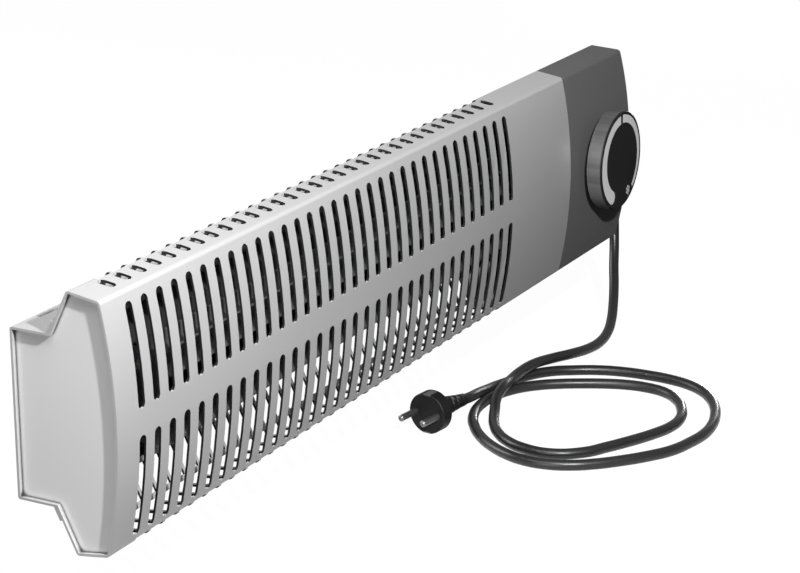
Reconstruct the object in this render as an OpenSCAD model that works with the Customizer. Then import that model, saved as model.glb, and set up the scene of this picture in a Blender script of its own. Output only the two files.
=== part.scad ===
// Frost protection heater: a slotted sheet-metal casing on a rear channel, with a U-shaped
// finned element, and a moulded control housing with a thermostat knob, cord and plug.
// x runs along the length, y = 0 is the wall, the front is at negative y, z = 0 is half height.

/* [Casing] */
// Length over both ends
total_len = 700; // [660:5:900]
// Length of the control housing at the right end
control_len = 109; // [106:1:130]
// Height of the casing
body_h = 155; // [152:1:180]
// Depth from the wall to the crown of the front
body_d = 69; // [68:1:84]
// How far the front bows out between its two corners
front_bulge = 8.6; // [5:0.2:11]
// How far the top face falls towards the front
top_fall = 3.1; // [1.5:0.1:5]
// Depth of the top face, from the crown of the front to the ridge
top_d = 30; // [29:0.5:32]
// Depth taken by the sloping shoulder behind the ridge
shoulder_run = 13; // [11:0.5:15]
// Height taken by the sloping shoulder
shoulder_fall = 26.5; // [24:0.5:27.5]
// Sheet thickness of the front cover
cover_t = 1.5; // [1:0.1:1.8]
// Sheet thickness of the rear panel
panel_t = 1.5; // [1:0.1:1.8]
// Wall of the control housing
housing_wall = 2.5; // [2:0.1:3]
// Lean of the housing's end wall over the full depth
end_lean = 24; // [14:1:28]

/* [Openings] */
// Number of slots in a row
slot_count = 32; // [20:1:34]
// Distance from slot to slot
slot_pitch = 15; // [13:0.5:15.5]
// Width of a front slot
slot_w = 6.5; // [4:0.5:8]
// Length of a front slot
slot_len = 61; // [50:1:62]
// Height of the plain band between the two rows
band_h = 15.6; // [14:0.2:20]
// Distance from the left end to the first slot
first_slot = 24.5; // [24:0.5:32]
// Width of the bars between the corner windows
window_bar = 2.4; // [2:0.2:4]

/* [Control] */
// Diameter of the knob
knob_d = 75; // [60:1:80]
// Depth of the knob
knob_depth = 11.5; // [11:0.5:16]
// Gap between the knob and the front
knob_gap = 5.3; // [4.5:0.1:8]
// Distance from the knob's axis to the right end
knob_from_end = 54.5; // [50:0.5:60]
// Height of the knob's axis above half height
knob_z = 2; // [0:0.5:8]
// Diameter of the spindle
spindle_d = 6; // [5:0.5:8]

/* [Element] */
// Diameter of the heating tube
tube_d = 8; // [6.5:0.5:9]
// Distance between the two legs of the tube
leg_spread = 40; // [34:1:44]
// Height of the middle of the element
element_z = -7; // [-10:1:-4]
// Distance of the tube's axis behind the crown of the front
element_setback = 30; // [28:1:32]
// Reach of a fin from the tube's axis
fin_reach = 15; // [12:0.5:16]

/* [Cord] */
// Diameter of the mains cord
cord_d = 7.8; // [6.4:0.2:8.4]
// Diameter of the plug's body
plug_d = 30.4; // [29:0.2:34]

/* [Hidden] */
$fn = 64;
fit = 0.1;
running = 0.05;

left_x = -total_len / 2;
right_x = total_len / 2;
joint_x = right_x - control_len;
front_y = -body_d;
top_z = body_h / 2;
seam = 0.3;

// Corners of the cross-section, as [y, z]
ridge = [front_y + top_d, top_z];
brow = [front_y + front_bulge, top_z - top_fall];
waist = [front_y + top_d + shoulder_run, top_z - shoulder_fall];
front_r = (pow(brow[1], 2) + pow(front_bulge, 2)) / (2 * front_bulge);
front_centre = [front_y + front_r, 0];
brow_r = 3;
ridge_r = 2.2;
box_r = 1.6;
along_shoulder = (ridge - waist) / norm(ridge - waist);
along_top = (brow - ridge) / norm(brow - ridge);
shoulder_len = norm(ridge - waist);
shoulder_n = turn(along_shoulder);
top_n = turn(along_top);
shoulder_tilt = -atan2(shoulder_n[0], shoulder_n[1]);

// Openings
slot_x0 = left_x + first_slot;
band_z = -0.8;
upper_slot_z = band_z + band_h / 2;
lower_slot_z = band_z - band_h / 2 - slot_len;
top_slot_y = [front_y + 15, front_y + 26];
window_w = slot_pitch - window_bar;
window_top_y = front_y + top_d - 2.7;
window_lap = 4.9;
window_bottom_z = -(brow[1] - 2);
shoulder_window = [2.3, 21.5];
hook_slot_len = 60;
hook_slot_w = 3;
hook_slot_from_end = 21.4;
hook_slot_y = -5.5;

// End plates
recess = 3;
plate_t = 1.2;
end_flange = 12;
tab_len = 18;
tab_lap = 8;
screw_x = [left_x + 9, joint_x - 9];
screw_up = 5;
casing_screw_d = 3.5;

// Wall fixing
wall_hole_d = 5.5;
wall_hole_x = joint_x - 21;
wall_hole_z = waist[1] - 13;

// Element
tube_y = front_y + element_setback;
tube_r = tube_d / 2;
leg_z = [element_z + leg_spread / 2, element_z - leg_spread / 2];
bend_x = left_x + 65;
tube_end_x = joint_x + 12;
fin_x = [left_x + 80, joint_x - 26];
fin_t = 1.4;
hub_r = tube_r + 2.5;
fin_angles = [90, 270, 35, 145, 215, 325];
shield_t = 1.2;
shield_y = tube_y + fin_reach + 2;
shield_z = [-waist[1] + 3, waist[1] - 23];
shield_foot = 8;
holder_x = left_x + 73;
bush_r = tube_r + 2;
bush_flange_r = bush_r + 2.6;
terminal_r = 1.5;
terminal_out = 21;
cutout_x = joint_x - 36;
cutout_r = 8;
cutout_h = 8;
lead_r = 1.2;

// Control housing and knob
knob_x = right_x - knob_from_end;
knob_r = knob_d / 2;
knob_rear_y = front_y - knob_gap;
knob_front_y = knob_rear_y - knob_depth;
knob_wall = 2.2;
face_t = 1;
face_r = knob_r - 0.1;
scale_r = knob_r - 2.6;
scale_depth = 0.5;
spindle_r = spindle_d / 2;
collar_r = 22;
collar_gap = 0.5;
bracket_y = front_y + 9;
bracket_t = 1.5;
post_dx = 24;
stat_w = 34;
stat_h = 38;
stat_front_y = bracket_y + bracket_t;
stat_rear_y = stat_front_y + 26.5;
stat_bush_r = spindle_r + 2;
chamber_y = [stat_front_y + 4.5, stat_front_y + 22.5];
plunger_r = 6;
plunger_y = [chamber_y[0] + 4, chamber_y[0] + 12];
thread_r = spindle_r - 1;
bulb_pos = [front_y + 21, -(top_z - 15.5)];
bulb_r = 3;
bulb_x = [joint_x + 15, joint_x + 95];
back_cover_t = 2;
block_x = [joint_x + 15, joint_x + 55];
block_y = [-16, -back_cover_t];
block_z = [21 - waist[1], 37 - waist[1]];
pole_x = [for (i = [0:2]) joint_x + 23 + 12 * i];
pole_y = -9;
stud_pos = [-16, waist[1] - 17];
stud_out = 11;
grommet_pos = [-32, element_z];
grommet_gap = 1.8;

// Cord: it leaves through the end wall, drops and rests on a surface below the heater
cord_r = cord_d / 2;
cord_y = front_y + 24;
cord_z = -(waist[1] - 9);
rest_z = cord_z - 117.4;
gland_face_x = right_x - 3;
clamp_x = right_x - 22;
relief_len = 24;
cord_inner = [clamp_x - 9, cord_y, cord_z];

// Plug, lying on the same surface
plug_r = plug_d / 2;
plug_at = [right_x - 258.4, cord_y + 17.8, rest_z + plug_r];
plug_turn = 172;
plug_len = 11;
plug_flat = plug_d - 0.6;
sleeve_len = 35;
sleeve_droop = 5;
pin_d = 4.8;
pin_len = 19;
pin_spread = 19;
plug_back = [-cos(plug_turn), -sin(plug_turn), 0];
sleeve_back = cos(sleeve_droop) * plug_back - [0, 0, sin(sleeve_droop)];

// Middle line of the cord: inside the gland, the free run, into the plug's sleeve.
// A point of the free run is given from the right end, the outlet and the surface.
free_run = [
    [29.4, 0.9, 112.5], [37.9, 3.1, 109.3], [45.6, 6.1, 103.4], [51.5, 9, 94.5],
    [54.6, 10.2, 82.9], [53.9, 9.5, 69.5], [48.9, 6.9, 55.3], [39.7, 2.9, 41.6],
    [27.5, -2.9, 29.4], [12.7, -9, 19.3], [-4, -15, 12], [-22.1, -19.8, 7.6], [-41.4, -22.1, 5.8],
    [-61.3, -21.2, 6.1], [-81.7, -16.3, 7.4], [-100.5, -7.2, 7.7], [-120.2, -2, 8.8],
    [-140.1, 0, 8.5], [-159.3, -0.8, 8], [-177.4, -3.7, 8.8], [-194.4, -6.5, 6.3],
    [-208.2, -11.9, 2.2], [-220.4, -17.2, 0.6], [-231.4, -23.3, 0], [-241.8, -31.1, 0],
    [-251.9, -42.2, 0], [-259.7, -58.3, 0], [-260.7, -79.6, 0], [-248.3, -99.4, 0],
    [-229.1, -111.4, 0], [-210.1, -121.4, 0], [-191.3, -129.7, 0], [-172.3, -135.2, 0],
    [-153.3, -134.7, 0], [-135.8, -128.4, 0], [-120.5, -118.6, 0], [-109.4, -104.6, 0],
    [-105.9, -87.8, 0], [-107.9, -71.5, 0], [-113.4, -56.3, 0], [-120.7, -41.8, 0],
    [-129.2, -27.7, 0], [-139.9, -14.3, 0], [-154.3, -3.2, 0], [-172.9, 3.8, 0], [-196.4, 5.2, 0],
    [-220.8, -0.8, 0], [-240.8, -12.3, 0], [-255.8, -25.2, 0], [-267, -38.8, 0],
    [-275.2, -53.3, 0], [-279.9, -69, 0], [-279.4, -85.8, 0], [-273.3, -102.1, 0],
    [-262.5, -116.7, 0], [-248.8, -129.9, 0], [-233, -142.4, 0], [-215, -153.1, 0],
    [-195.1, -158.7, 0], [-175.4, -161.5, 0], [-156.2, -160.1, 0], [-138.2, -155.5, 0],
    [-121.5, -148.8, 0], [-106.5, -139.6, 0], [-93.9, -127.8, 0], [-85.3, -112.9, 0],
    [-81.3, -96.2, 0], [-80.7, -78.6, 0], [-82.3, -60.4, 0], [-87.5, -42.2, 0], [-96.7, -25, 0],
    [-109.6, -10, 0.5], [-126, 1.7, 0.2], [-141.6, 7.6, 0.1], [-157.4, 10.9, 1.1],
    [-173.2, 11.8, 2.8], [-188.5, 11.2, 5.3]
];
cord_points = concat(
    [for (x = [cord_inner[0], clamp_x, gland_face_x, gland_face_x + relief_len]) [x, cord_y, cord_z]],
    [for (p = free_run) [right_x + p[0], cord_y + p[1], rest_z + cord_r + p[2]]],
    [for (d = [7, 0]) plug_at + plug_back * plug_len + sleeve_back * (sleeve_len + d)]
);

// Vector helpers
function turn(v) = [v[1], -v[0]];
function unit(v) = v / norm(v);
function meet(p, d, q, e) = p + d * cross(q - p, e) / cross(d, e);

// Corners of the cross-section drawn in by t, and by b at the rear box
function waist_at(t, b) = meet([0, waist[1] - b], [-1, 0], waist - shoulder_n * t, along_shoulder);
function ridge_at(t) = meet(waist - shoulder_n * t, along_shoulder, ridge - top_n * t, along_top);
function brow_at(t) =
    let (q = ridge - top_n * t - front_centre, k = q * along_top, r = front_r - t)
    q + front_centre + along_top * (sqrt(k * k - q * q + r * r) - k);
function front_at(z, t = 0) = front_centre[0] - sqrt(pow(front_r - t, 2) - z * z);
function end_x(y) = right_x - end_lean * (y - front_y) / body_d;

// Tube swept along points, in rings of triangles
function heading(p, i) =
    i == 0 ? unit(p[1] - p[0])
    : i == len(p) - 1 ? unit(p[i] - p[i - 1])
    : unit(unit(p[i + 1] - p[i]) + unit(p[i] - p[i - 1]));
function square_to(s, t) = unit(s - t * (s * t));
function sides_of(p) = [
    for (i = 0, s = square_to([0.31, 0.52, 0.79], heading(p, 0)); i < len(p); i = i + 1,
        s = i < len(p) ? square_to(s, heading(p, i)) : s) s
];
module swept(p, r, n) {
    s = sides_of(p);
    last = len(p) - 1;
    rings = [
        for (i = [0:last], k = [0:n - 1])
            p[i] + r * (cos(360 * k / n) * s[i] + sin(360 * k / n) * cross(heading(p, i), s[i]))
    ];
    walls = [
        for (i = [0:last - 1], k = [0:n - 1])
            let (a = i * n + k, b = i * n + (k + 1) % n) each [[a, a + n, b], [b, a + n, b + n]]
    ];
    near = [for (k = [1:n - 2]) [0, k, k + 1]];
    far = [for (k = [1:n - 2]) [last * n, last * n + k + 1, last * n + k]];
    polyhedron(points = rings, faces = concat(walls, near, far));
}

// Path that leaves a along u and reaches b along v
function eased(a, u, b, v, n) = [
    for (k = [0:n])
        let (t = k / n, m = 1 - t)
        a * m * m * m + (a + u) * 3 * m * m * t + (b - v) * 3 * m * t * t + b * t * t * t
];

// Extrusions along the row's axes
module along_x(x0, x1) {
    translate([x0, 0, 0]) rotate([90, 0, 90]) linear_extrude(height = x1 - x0) children();
}
module along_y(y0, y1) {
    translate([0, y1, 0]) rotate([90, 0, 0]) linear_extrude(height = y1 - y0) children();
}
module along_z(z0, z1) {
    translate([0, 0, z0]) linear_extrude(height = z1 - z0) children();
}
module rod_x(x0, x1, y, z, r) {
    translate([x0, y, z]) rotate([0, 90, 0]) cylinder(h = x1 - x0, r = r);
}
module rod_y(y0, y1, x, z, r) {
    translate([x, y0, z]) rotate([-90, 0, 0]) cylinder(h = y1 - y0, r = r);
}
module block(x, y, z) {
    translate([x[0], y[0], z[0]]) cube([x[1] - x[0], y[1] - y[0], z[1] - z[0]]);
}
module both_ways() {
    children();
    mirror([0, 0, 1]) children();
}
module on_shoulder(x, up) {
    p = waist + along_shoulder * up;
    translate([x, p[0], p[1]]) rotate([shoulder_tilt, 0, 0]) children();
}

// Cross-section of the casing, drawn in by t at the cover and by b at the rear box
module sharp_section(t, b, back) {
    w = waist_at(t, b);
    r = ridge_at(t);
    f = r + along_top * (top_d + 10);
    intersection() {
        polygon([
            [back, -w[1]], [w[0], -w[1]], [r[0], -r[1]], [f[0], -f[1]],
            f, r, w, [back, w[1]]
        ]);
        translate(front_centre) circle(r = front_r - t, $fn = 360);
    }
}
module corner_waste(corner, centre, side_a, side_b, r) {
    difference() {
        polygon([corner + (corner - centre) * 0.5, side_a, centre, side_b]);
        translate(centre) circle(r = r);
    }
}
module section(t, b, back) {
    ro = brow_r - t;
    ri = ridge_r - t;
    difference() {
        sharp_section(t, b, back);
        for (m = [0, 1]) mirror([0, m]) {
            if (ro > 0.2) {
                c = brow_at(t + ro);
                out = unit(c - front_centre);
                corner_waste(brow_at(t), c, c + top_n * ro, c + out * ro, ro);
            }
            if (ri > 0.2) {
                c = ridge_at(t + ri);
                corner_waste(ridge_at(t), c, c + shoulder_n * ri, c + top_n * ri, ri);
            }
        }
    }
}

// Slots and windows of the front cover
module stadium(x, y0, y1, w) {
    translate([x - w / 2, y0 + w / 2]) square([w, y1 - y0 - w]);
    translate([x, y0 + w / 2]) circle(d = w);
    translate([x, y1 - w / 2]) circle(d = w);
}
module slot_row(y0, y1) {
    for (i = [0:slot_count - 1]) stadium(slot_x0 + i * slot_pitch, y0, y1, slot_w);
}
module window_row(y0, y1) {
    for (i = [0:slot_count - 2])
        translate([slot_x0 + i * slot_pitch + window_bar / 2, y0]) square([window_w, y1 - y0]);
}

// Windows that wrap over a corner and end square to the shoulder, in section
window_end = waist + along_shoulder * (shoulder_len - window_lap);
window_in = window_end - shoulder_n * (cover_t + 1);
window_out = window_end + shoulder_n;
module top_window() {
    polygon([
        [window_top_y, window_in[1]], window_in, window_out,
        [window_out[0], top_z + 1], [window_top_y, top_z + 1]
    ]);
}
module bottom_window() {
    mirror([0, 1]) polygon([
        [front_y - 1, -window_bottom_z], [window_in[0] - 0.5, -window_bottom_z], window_in,
        window_out, [window_out[0], top_z + 1], [front_y - 1, top_z + 1]
    ]);
}

module front_cover() color("silver") difference() {
    along_x(left_x, joint_x - seam) difference() {
        section(0, 0, 0);
        section(cover_t, cover_t, 1);
        translate([waist[0], -body_h]) square([body_d, 2 * body_h]);
    }
    along_y(front_y - 1, front_y + front_bulge + 6) {
        slot_row(upper_slot_z, upper_slot_z + slot_len);
        slot_row(lower_slot_z, lower_slot_z + slot_len);
    }
    along_z(top_z - top_fall - 6, top_z + 1) slot_row(top_slot_y[0], top_slot_y[1]);
    for (i = [0:slot_count - 2]) {
        x = slot_x0 + i * slot_pitch + window_bar / 2;
        along_x(x, x + window_w) top_window();
        along_x(x, x + window_w) bottom_window();
    }
    both_ways() on_shoulder(0, 0) translate([0, 0, -cover_t - 1])
        linear_extrude(height = cover_t + 2) window_row(-shoulder_window[1], -shoulder_window[0]);
    both_ways() for (x = screw_x) on_shoulder(x, screw_up)
        cylinder(h = 10, d = casing_screw_d + fit, center = true);
}

module rear_panel() color("gainsboro") difference() {
    union() {
        along_x(left_x, joint_x - seam) difference() {
            box_profile(waist[0], waist[1], box_r);
            translate([waist[0] - 1, -waist[1] + panel_t])
                square([-waist[0] + 1 - panel_t, 2 * (waist[1] - panel_t)]);
        }
        both_ways() for (x = [left_x, joint_x - seam - tab_len]) along_x(x, x + tab_len) shoulder_tab();
    }
    for (x = [-wall_hole_x, wall_hole_x]) rod_y(-panel_t - 1, 1, x, wall_hole_z, wall_hole_d / 2);
    for (x = [left_x + hook_slot_from_end, joint_x - hook_slot_from_end - hook_slot_len])
        block([x, x + hook_slot_len], [hook_slot_y, hook_slot_y + hook_slot_w],
            [waist[1] - panel_t - 1, waist[1] + 1]);
    both_ways() for (x = screw_x) on_shoulder(x, screw_up)
        cylinder(h = 10, d = casing_screw_d + fit, center = true);
}
module box_profile(y, z, r) {
    translate([y, -z]) square([-y - r, 2 * z]);
    translate([y, -z + r]) square([-y, 2 * (z - r)]);
    for (s = [-1, 1]) translate([-r, s * (z - r)]) circle(r = r);
}
module shoulder_tab() {
    lap = 0.05;
    a = waist + shoulder_n * lap + along_shoulder * tab_lap;
    low = [for (n = [lap, lap + panel_t]) waist_at(-n, panel_t / 2)];
    polygon([low[0], a, a + shoulder_n * panel_t, low[1]]);
}

// Pan with a flange, fitted inside the cover and the rear panel
module pan(face_x, flange_x) {
    t = cover_t + fit;
    b = panel_t + fit;
    along_x(face_x, face_x + plate_t) section(t, b, -b);
    along_x(flange_x, flange_x + end_flange) difference() {
        section(t, b, -b);
        section(t + plate_t, b + plate_t, -b - plate_t);
    }
}
module left_end_plate() color("silver") difference() {
    pan(left_x + recess, left_x + recess);
    both_ways() on_shoulder(screw_x[0], screw_up)
        cylinder(h = 10, d = casing_screw_d + fit, center = true);
}
module partition_plate() color("lightgrey") difference() {
    pan(joint_x - plate_t, joint_x - end_flange);
    both_ways() on_shoulder(screw_x[1], screw_up)
        cylinder(h = 10, d = casing_screw_d + fit, center = true);
    for (z = leg_z) rod_x(joint_x - 5, joint_x + 1, tube_y, z, bush_r + fit);
    for (p = housing_screw_at) rod_x(joint_x - 5, joint_x + 1, p[0], p[1], 1.6);
    rod_x(joint_x - 5, joint_x + 1, stud_pos[0], stud_pos[1], 2.1);
    rod_x(joint_x - 5, joint_x + 1, grommet_pos[0], grommet_pos[1], 4.6);
}
housing_screw_at = [
    for (s = [-1, 1]) [front_y + 17, s * (top_z - 8)],
    for (s = [-1, 1]) [-12, s * (waist[1] - 6)]
];

module casing_screws() color("gainsboro") both_ways() for (x = screw_x) on_shoulder(x, screw_up) {
    translate([0, 0, -8]) cylinder(h = 9.7 + panel_t - 1.5, d = casing_screw_d);
    translate([0, 0, panel_t + 0.1]) difference() {
        cylinder(h = 2, r = 3.2);
        translate([-0.5, -2.4, 1]) cube([1, 4.8, 2]);
        translate([-2.4, -0.5, 1]) cube([4.8, 1, 2]);
    }
}

module heat_shield() color("darkgrey") difference() {
    along_x(left_x + 20, joint_x - 15) {
        translate([shield_y, shield_z[0]]) square([shield_t, shield_z[1] - shield_z[0]]);
        for (k = [0, 1]) {
            leg = k == 0 ? shield_z[0] : shield_z[1] - shield_t;
            foot = k == 0 ? shield_z[0] : shield_z[1] - shield_foot;
            translate([shield_y, leg]) square([-panel_t - shield_y, shield_t]);
            translate([-panel_t - shield_t, foot]) square([shield_t, shield_foot]);
        }
    }
    for (z = rivet_z) rod_y(shield_y - 1, shield_y + 3, holder_x + 7, z, 1.65);
}
rivet_z = [element_z - 8, element_z + 8];

module heating_tube() color("dimgray") difference() {
    union() {
        for (z = leg_z) rod_x(bend_x, tube_end_x, tube_y, z, tube_r);
        translate([bend_x, tube_y, element_z]) rotate([90, 0, 0]) rotate([0, 0, 90])
            rotate_extrude(angle = 180, $fn = 96) translate([leg_spread / 2, 0]) circle(r = tube_r);
    }
    for (z = leg_z) rod_x(tube_end_x - 5, tube_end_x + 1, tube_y, z, terminal_r + running);
}

module fin_profile() {
    difference() {
        union() {
            circle(r = hub_r);
            for (a = fin_angles) rotate(a) {
                translate([0, -fin_t / 2]) square([fin_reach - fin_t / 2, fin_t]);
                translate([fin_reach - fin_t / 2, 0]) circle(d = fin_t);
            }
        }
        circle(r = tube_r + running);
    }
}
module upper_fins() color("gray") along_x(fin_x[0], fin_x[1])
    translate([tube_y, leg_z[0]]) fin_profile();
module lower_fins() color("gray") along_x(fin_x[0], fin_x[1])
    translate([tube_y, leg_z[1]]) fin_profile();

module element_bracket() color("lightgrey") difference() {
    union() {
        block([holder_x, holder_x + plate_t], [tube_y - tube_r - 6, shield_y], [leg_z[1] - 9, leg_z[0] + 9]);
        block([holder_x, holder_x + 13], [shield_y - plate_t, shield_y], [element_z - 14, element_z + 14]);
    }
    for (z = leg_z) rod_x(holder_x - 1, holder_x + 3, tube_y, z, tube_r + running);
    for (z = rivet_z) rod_y(shield_y - 3, shield_y + 1, holder_x + 7, z, 1.65);
}
module bracket_rivets() color("gainsboro") for (z = rivet_z) {
    rod_y(shield_y - plate_t, shield_y + shield_t, holder_x + 7, z, 1.6);
    rod_y(shield_y - plate_t - 0.8, shield_y - plate_t, holder_x + 7, z, 2.8);
    rod_y(shield_y + shield_t, shield_y + shield_t + 0.8, holder_x + 7, z, 2.6);
}

module hex_rod(x0, x1, y, z, r) {
    translate([x0, y, z]) rotate([0, 90, 0]) cylinder(h = x1 - x0, r = r, $fn = 6);
}
module element_bushes() color("darkgoldenrod") for (z = leg_z) difference() {
    union() {
        rod_x(joint_x - plate_t - 8, joint_x + 7, tube_y, z, bush_r);
        hex_rod(joint_x - plate_t - 3.5, joint_x - plate_t, tube_y, z, bush_flange_r);
    }
    rod_x(joint_x - 15, joint_x + 10, tube_y, z, tube_r + running);
}
module element_nuts() color("darkgoldenrod") for (z = leg_z) difference() {
    hex_rod(joint_x, joint_x + 4, tube_y, z, bush_flange_r);
    rod_x(joint_x - 1, joint_x + 5, tube_y, z, bush_r + running);
}
module terminal_insulators() color("linen") for (z = leg_z) difference() {
    rod_x(tube_end_x, tube_end_x + 4, tube_y, z, tube_r - 0.4);
    rod_x(tube_end_x - 1, tube_end_x + 5, tube_y, z, terminal_r + running);
}
module element_terminals() color("gainsboro") for (z = leg_z)
    rod_x(tube_end_x - 4.9, joint_x + terminal_out, tube_y, z, terminal_r);

module thermal_cutout() color("black") {
    rod_y(shield_y - cutout_h, shield_y, cutout_x, element_z, cutout_r);
    block([cutout_x - 12, cutout_x + 12], [shield_y - 1, shield_y], [element_z - 4, element_z + 4]);
}
cutout_tab_y = shield_y - cutout_h - 2.4;
module cutout_tabs() color("gainsboro") for (s = [-1, 1]) {
    z = element_z + 3 * s;
    block([cutout_x + 1, cutout_x + 11], [cutout_tab_y, cutout_tab_y + 0.8], [z - 2, z + 2]);
    block([cutout_x + 1, cutout_x + 1.8], [cutout_tab_y, shield_y - cutout_h], [z - 2, z + 2]);
}

// Wedge that follows the leaning end wall, drawn in by t
module up_to_end(t) {
    along_z(-body_h, body_h) polygon([
        [joint_x - 5, front_y - 2], [end_x(front_y - 2) - t, front_y - 2],
        [end_x(3) - t, 3], [joint_x - 5, 3]
    ]);
}
module control_housing() color([0.3, 0.3, 0.3]) difference() {
    union() {
        difference() {
            intersection() {
                along_x(joint_x, right_x + 1) section(0, 0, 0);
                up_to_end(0);
            }
            intersection() {
                along_x(joint_x - 1, right_x + 1) section(housing_wall, housing_wall, 2);
                up_to_end(housing_wall);
            }
        }
        rod_y(knob_rear_y + collar_gap, front_at(0) + 1, knob_x, knob_z, collar_r);
        intersection() {
            union() {
                for (p = housing_screw_at) rod_x(joint_x, joint_x + 12, p[0], p[1], 4);
                for (x = [-post_dx, post_dx]) rod_y(front_y, bracket_y, knob_x + x, knob_z, 4);
                for (x = back_screw_x, z = [-back_screw_z, back_screw_z])
                    rod_y(-16, -back_cover_t, x, z, 4);
                block([clamp_x - 5, clamp_x + 5], [front_y, cord_y - 0.5], [cord_z - 12, cord_z + 12]);
            }
            along_x(joint_x, right_x) section(housing_wall / 2, housing_wall / 2, 0);
        }
        rod_x(end_x(cord_y + 10) - housing_wall, gland_face_x, cord_y, cord_z, 10);
    }
    rod_y(knob_rear_y - 1, front_y + 6, knob_x, knob_z, spindle_r + 1.5);
    rod_y(knob_rear_y - 1, knob_rear_y + collar_gap + 2, knob_x, knob_z, collar_r - 3);
    for (p = housing_screw_at) rod_x(joint_x - 1, joint_x + 10, p[0], p[1], 1.55);
    for (x = [-post_dx, post_dx]) rod_y(bracket_y - 5, bracket_y + 1, knob_x + x, knob_z, 1.55);
    for (x = back_screw_x, z = [-back_screw_z, back_screw_z]) rod_y(-14, 0, x, z, 1.55);
    rod_x(clamp_x - 6, clamp_x + 6, cord_y, cord_z, cord_r + running);
    for (z = [-8, 8]) rod_y(cord_y - 12, cord_y, clamp_x, cord_z + z, 1.55);
    rod_x(right_x - 30, right_x + 1, cord_y, cord_z, 6 + running);
}
back_screw_x = [joint_x + 27, joint_x + 77];
back_screw_z = waist[1] - housing_wall - 3.9;

module control_back_cover() color([0.3, 0.3, 0.3]) difference() {
    intersection() {
        block([joint_x + fit, right_x], [-back_cover_t, 0],
            [-waist[1] + housing_wall + fit, waist[1] - housing_wall - fit]);
        up_to_end(housing_wall + fit);
    }
    for (x = back_screw_x, z = [-back_screw_z, back_screw_z]) {
        rod_y(-5, 1, x, z, 1.6);
        translate([x, -1.6, z]) rotate([-90, 0, 0]) cylinder(h = 1.7, r1 = 1.6, r2 = 3.3);
    }
}
module housing_screws() color("gainsboro") for (p = housing_screw_at) {
    rod_x(joint_x - plate_t, joint_x + 9, p[0], p[1], 1.5);
    rod_x(joint_x - plate_t - 2, joint_x - plate_t, p[0], p[1], 2.8);
}
module back_cover_screws() color("dimgray") for (x = back_screw_x, z = [-back_screw_z, back_screw_z]) {
    rod_y(-13, -0.2, x, z, 1.5);
    translate([x, -1.5, z]) rotate([-90, 0, 0]) cylinder(h = 1.4, r1 = 1.5, r2 = 2.9);
}

module thermostat_bracket() color("lightgrey") difference() {
    block([knob_x - 30, knob_x + 30], [bracket_y, bracket_y + bracket_t], [knob_z - 15, knob_z + 15]);
    rod_y(bracket_y - 1, bracket_y + 3, knob_x, knob_z, stat_bush_r + fit);
    for (x = [-post_dx, post_dx]) rod_y(bracket_y - 1, bracket_y + 3, knob_x + x, knob_z, 1.6);
    for (z = [-stat_screw, stat_screw]) rod_y(bracket_y - 1, bracket_y + 3, knob_x, knob_z + z, 1.6);
}
stat_screw = stat_bush_r + 6;
module bracket_screws() color("gainsboro") for (x = [-post_dx, post_dx]) {
    rod_y(bracket_y - 4.5, bracket_y + bracket_t, knob_x + x, knob_z, 1.5);
    rod_y(bracket_y + bracket_t, bracket_y + bracket_t + 2, knob_x + x, knob_z, 2.8);
}
module thermostat_screws() color("gainsboro") for (z = [-stat_screw, stat_screw]) {
    rod_y(bracket_y, bracket_y + 6, knob_x, knob_z + z, 1.5);
    rod_y(bracket_y - 2, bracket_y, knob_x, knob_z + z, 2.8);
}
module thermostat_body() color("ivory") difference() {
    union() {
        block([knob_x - stat_w / 2, knob_x + stat_w / 2], [stat_front_y, stat_rear_y],
            [knob_z - stat_h / 2, knob_z + stat_h / 2]);
        rod_y(bracket_y - 3, stat_front_y + 1, knob_x, knob_z, stat_bush_r);
    }
    rod_y(bracket_y - 4, chamber_y[0] + 1, knob_x, knob_z, spindle_r + running);
    rod_y(chamber_y[0], chamber_y[1], knob_x, knob_z, plunger_r + running);
    block([knob_x - 1.1, knob_x + 1.1], chamber_y, [knob_z + plunger_r - 1, knob_z + plunger_r + 1.4]);
    for (z = [-stat_screw, stat_screw]) rod_y(stat_front_y - 1, stat_front_y + 5, knob_x, knob_z + z, 1.55);
}
module adjusting_plunger() color("goldenrod") difference() {
    union() {
        rod_y(plunger_y[0], plunger_y[1], knob_x, knob_z, plunger_r);
        block([knob_x - 0.8, knob_x + 0.8], plunger_y, [knob_z + plunger_r - 1, knob_z + plunger_r + 1.1]);
    }
    rod_y(plunger_y[0] - 1, plunger_y[1] - 1, knob_x, knob_z, thread_r + running);
}
module thermostat_tabs() color("gainsboro") for (x = [-8, 8])
    block([knob_x + x - 0.4, knob_x + x + 0.4], [stat_rear_y, stat_rear_y + 8], [knob_z - 3.1, knob_z + 3.1]);

capillary_from = [knob_x - stat_w / 2, front_y + 24, knob_z - 8];
capillary_to = [bulb_x[0], bulb_pos[0], bulb_pos[1]];
module capillary_tube() color("peru") swept(
    concat([capillary_from],
        eased(capillary_from - [2, 0, 0], [-15, 0, 0], capillary_to - [2, 0, 0], [10, 0, 0], 16),
        [capillary_to]), 0.8, 8);
module sensor_bulb() color("peru") rod_x(bulb_x[0], bulb_x[1], bulb_pos[0], bulb_pos[1], bulb_r);
module bulb_clips() color("dimgray") for (x = [bulb_x[0] + 14, bulb_x[1] - 18])
along_x(x, x + 4) difference() {
    intersection() {
        section(housing_wall, housing_wall, 0);
        translate([bulb_pos[0] - 4.5, -body_h]) square([9, body_h + bulb_pos[1] + 1.2]);
    }
    translate(bulb_pos) circle(r = bulb_r + running);
}

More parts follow.
